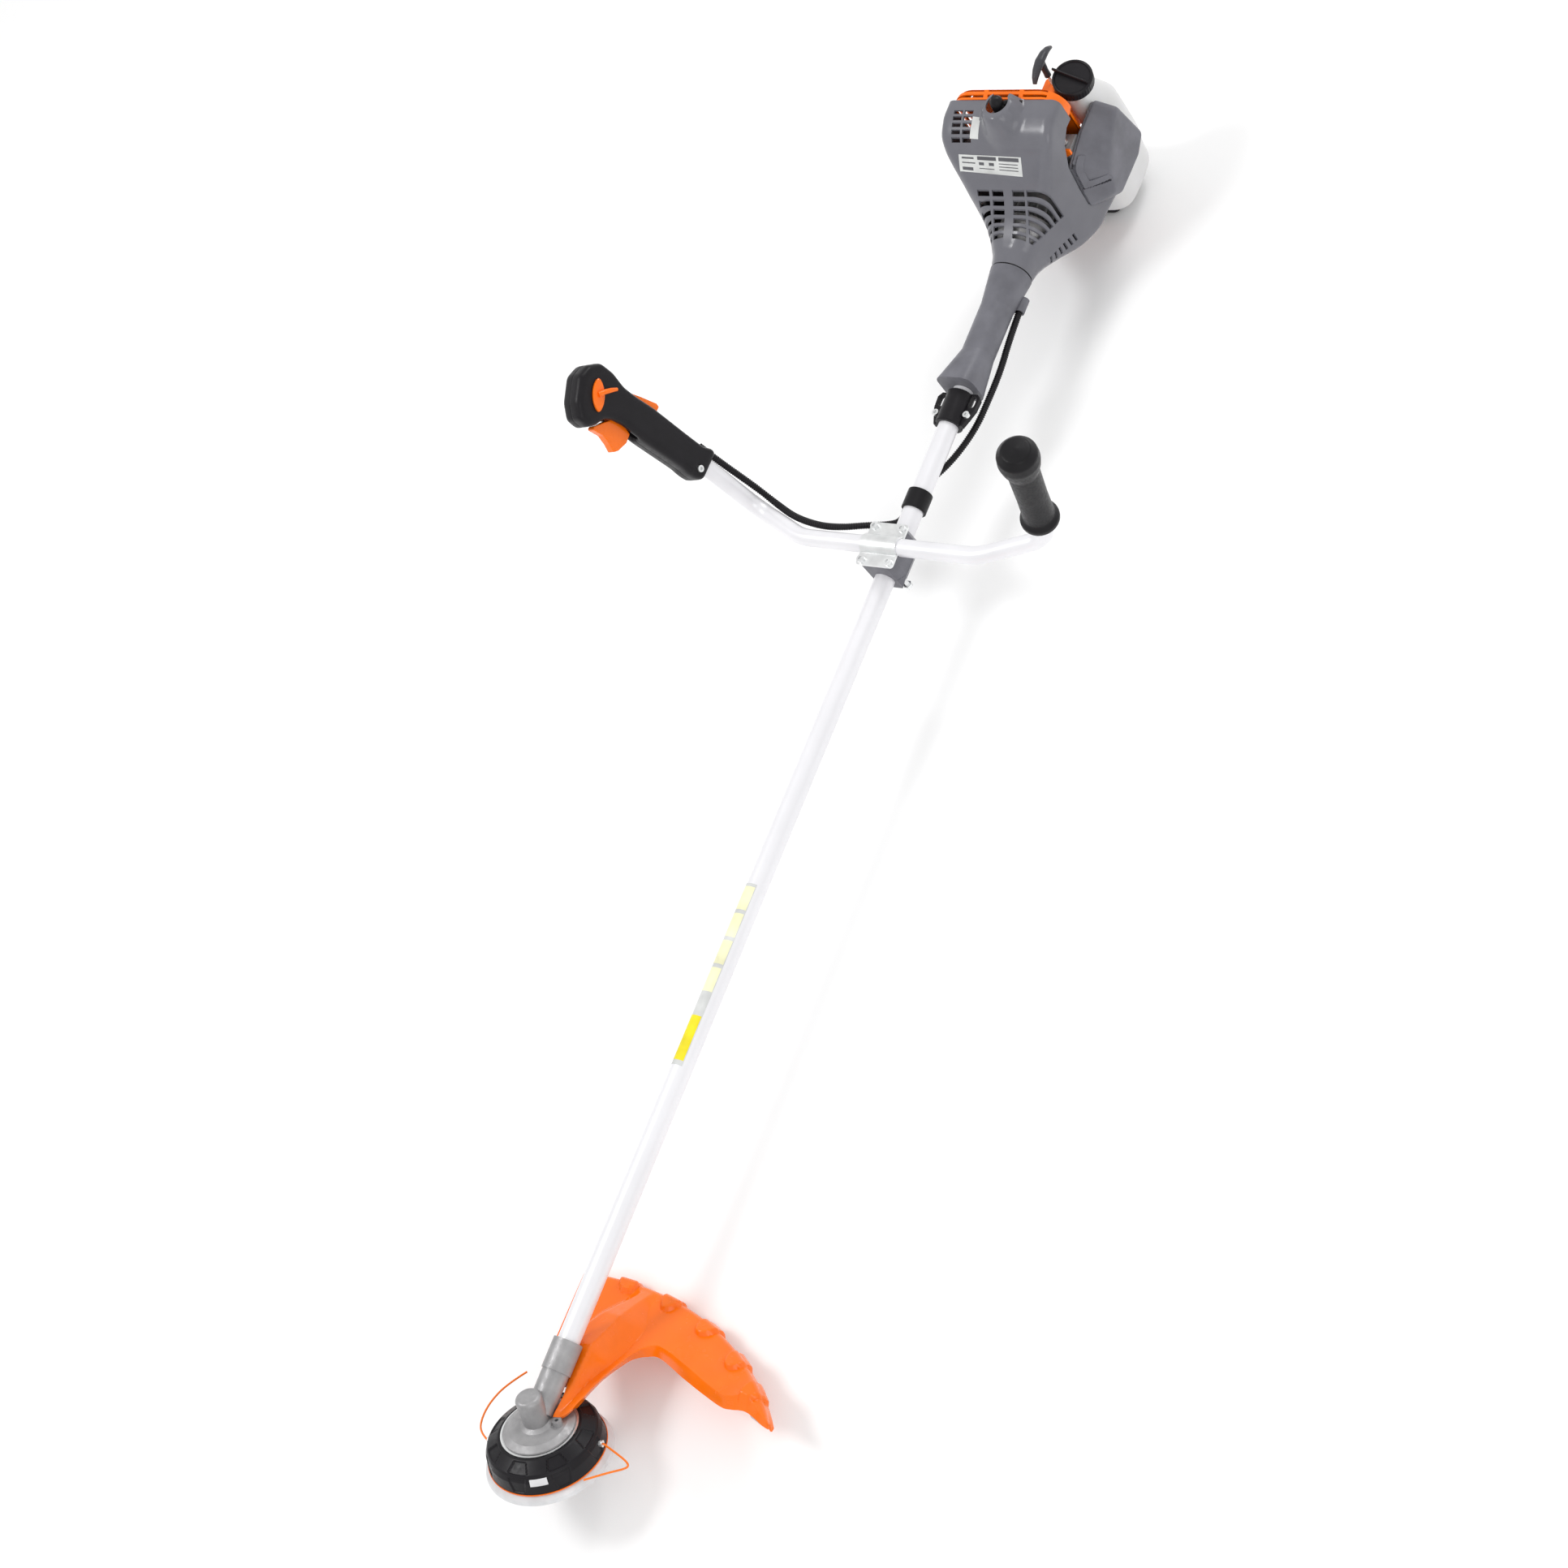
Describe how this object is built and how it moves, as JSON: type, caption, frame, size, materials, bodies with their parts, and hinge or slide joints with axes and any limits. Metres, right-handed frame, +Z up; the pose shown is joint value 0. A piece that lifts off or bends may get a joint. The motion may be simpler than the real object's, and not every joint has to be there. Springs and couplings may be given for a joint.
{
  "type": "brush cutter",
  "caption": "Petrol brush cutter with straight shaft, wide handlebar, line head under a curved guard, and an engine with starter grip and fuel tank.",
  "frame": {"origin": "a point on the underside of the stand under the fuel tank, below the shaft axis, on the ground plane", "axes": "+Z up; +Y along the shaft from the cutting head to the engine; +X to the operator's left hand"},
  "size_m": [0.5975, 1.885, 0.4678],
  "materials": {
    "cast_aluminium": "cast, matt",
    "machined_steel": "machined",
    "zinc_steel": "bright zinc plate",
    "silver_paint": "satin silver-white paint",
    "black_plastic": "fine grain, matt",
    "white_plastic": "satin",
    "orange_plastic": "glossy",
    "orange_line": "nylon",
    "grey_plastic": "glossy",
    "satin_grey_plastic": "satin",
    "dark_grey_plastic": "satin",
    "milky_plastic": "translucent, milky",
    "clear_plastic": "clear, soft",
    "black_rubber": "soft, matt",
    "bronze_rubber": "oil-filled bushing",
    "rope": "braided"
  },
  "bodies": {
    "frame": {"ball_bearings": "machined_steel", "bar_clamp_block": "satin_grey_plastic", "bar_clamp_bolts": "zinc_steel", "bar_clamp_lower": "satin_grey_plastic", "bar_clamp_plate": "zinc_steel", "base_stand": "black_plastic", "cable_band": "black_rubber", "cap_screws": "zinc_steel", "carburettor": "cast_aluminium", "clutch_housing": "cast_aluminium", "connecting_rod": "machined_steel", "control_conduit": "black_plastic", "crankcase": "cast_aluminium", "cylinder": "cast_aluminium", "filter_base": "black_plastic", "filter_cover": "satin_grey_plastic", "fuel_tank": "milky_plastic", "gear_case": "cast_aluminium", "guard": "orange_plastic", "handlebar": "silver_paint", "harness_hanger": "black_plastic", "line_cutter": "machined_steel", "muffler": "machined_steel", "neck_sleeve": "satin_grey_plastic", "piston": "cast_aluminium", "plain_grip": "black_rubber", "plug_boot": "black_rubber", "shaft_bushings": "bronze_rubber", "shaft_tube": "silver_paint", "shroud": "grey_plastic", "spark_plug": "zinc_steel", "starter_housing": "orange_plastic", "throttle_grip_inner": "black_plastic", "throttle_grip_outer": "black_plastic"},
    "drive_line": {"drive_shaft": "machined_steel", "clutch_drum": "machined_steel", "pinion_shaft": "machined_steel"},
    "cutting_head": {"output_shaft": "machined_steel", "mounting_flange": "zinc_steel", "head_housing": "black_plastic", "line_eyelets": "zinc_steel", "line_spool": "orange_plastic", "wound_line": "orange_line", "head_cover": "white_plastic", "line_tail_folded": "orange_line", "line_tail_long": "orange_line"},
    "bump_knob": {"bump_knob": "black_plastic"},
    "crank": {"crankshaft": "machined_steel", "flywheel": "cast_aluminium", "clutch_shoes": "machined_steel"},
    "starter_grip": {"starter_handle": "dark_grey_plastic", "starter_rope": "rope"},
    "starter_pulley": {"starter_pulley": "black_plastic"},
    "trigger": {"throttle_trigger": "orange_plastic"},
    "carb_lever": {"carb_throttle_lever": "zinc_steel"},
    "lock": {"throttle_lock": "orange_plastic"},
    "switch": {"stop_switch": "orange_plastic"},
    "choke": {"choke_lever": "orange_plastic"},
    "primer": {"primer_bulb": "clear_plastic"},
    "cap": {"fuel_cap": "black_plastic"}
  },
  "joints": [
    {"name": "head_spin", "type": "hinge", "parent": "frame", "child": "cutting_head", "pos_m": [0, -1.715, 0.125], "axis": [0, 0.5, 0.866], "continuous": true},
    {"name": "drive_spin", "type": "hinge", "parent": "frame", "child": "drive_line", "pos_m": [0, -0.715, 0.125], "axis": [0, 1, 0], "continuous": true},
    {"name": "knob_press", "type": "slide", "parent": "cutting_head", "child": "bump_knob", "axis": [0, 0.5, 0.866], "range_m": [0, 0.004], "stiffness_N_per_m": 900, "springref_m": -0.002},
    {"name": "crank_spin", "type": "hinge", "parent": "frame", "child": "crank", "pos_m": [0, -0.051, 0.125], "axis": [0, 1, 0], "continuous": true},
    {"name": "starter_pull", "type": "slide", "parent": "frame", "child": "starter_grip", "axis": [-0.1005, 0.2009, 0.9744], "range_m": [0, 0.045], "stiffness_N_per_m": 150, "springref_m": -0.03},
    {"name": "pulley_turn", "type": "hinge", "parent": "frame", "child": "starter_pulley", "pos_m": [0, -0.008, 0.125], "axis": [0, 1, 0], "range_deg": [-78, 0]},
    {"name": "trigger_squeeze", "type": "hinge", "parent": "frame", "child": "trigger", "pos_m": [-0.27342, -0.5955, 0.40618], "axis": [0.9663, 0, 0.2573], "range_deg": [0, 14], "stiffness_Nm_per_rad": 0.3, "springref_deg": -8.59},
    {"name": "carb_lever_turn", "type": "hinge", "parent": "frame", "child": "carb_lever", "pos_m": [0.057, -0.047, 0.204], "axis": [0, 0, 1], "range_deg": [0, 33.6]},
    {"name": "lock_press", "type": "hinge", "parent": "frame", "child": "lock", "pos_m": [-0.26918, -0.568, 0.39023], "axis": [-0.9663, 0, -0.2573], "range_deg": [0, 7], "stiffness_Nm_per_rad": 0.3, "springref_deg": -8.59},
    {"name": "switch_turn", "type": "hinge", "parent": "frame", "child": "switch", "pos_m": [-0.26323, -0.596, 0.43787], "axis": [-0.9663, 0, -0.2573], "range_deg": [0, 25]},
    {"name": "choke_turn", "type": "hinge", "parent": "frame", "child": "choke", "pos_m": [0.057, -0.064, 0.199], "axis": [0, -1, 0], "range_deg": [0, 60]},
    {"name": "primer_press", "type": "slide", "parent": "frame", "child": "primer", "axis": [0, 0, 1], "range_m": [0, 0.005], "stiffness_N_per_m": 300, "springref_m": -0.002},
    {"name": "cap_turn", "type": "hinge", "parent": "frame", "child": "cap", "pos_m": [0.0555, 0.022, 0.223], "axis": [0.2702, -0.0901, 0.9586], "continuous": true}
  ],
  "couplings": [
    {"joint": "drive_spin", "follows": "head_spin", "ratio": -1.3571},
    {"joint": "pulley_turn", "follows": "starter_pull", "rad_per_m": -29.412},
    {"joint": "carb_lever_turn", "follows": "trigger_squeeze", "ratio": 2.4}
  ]
}
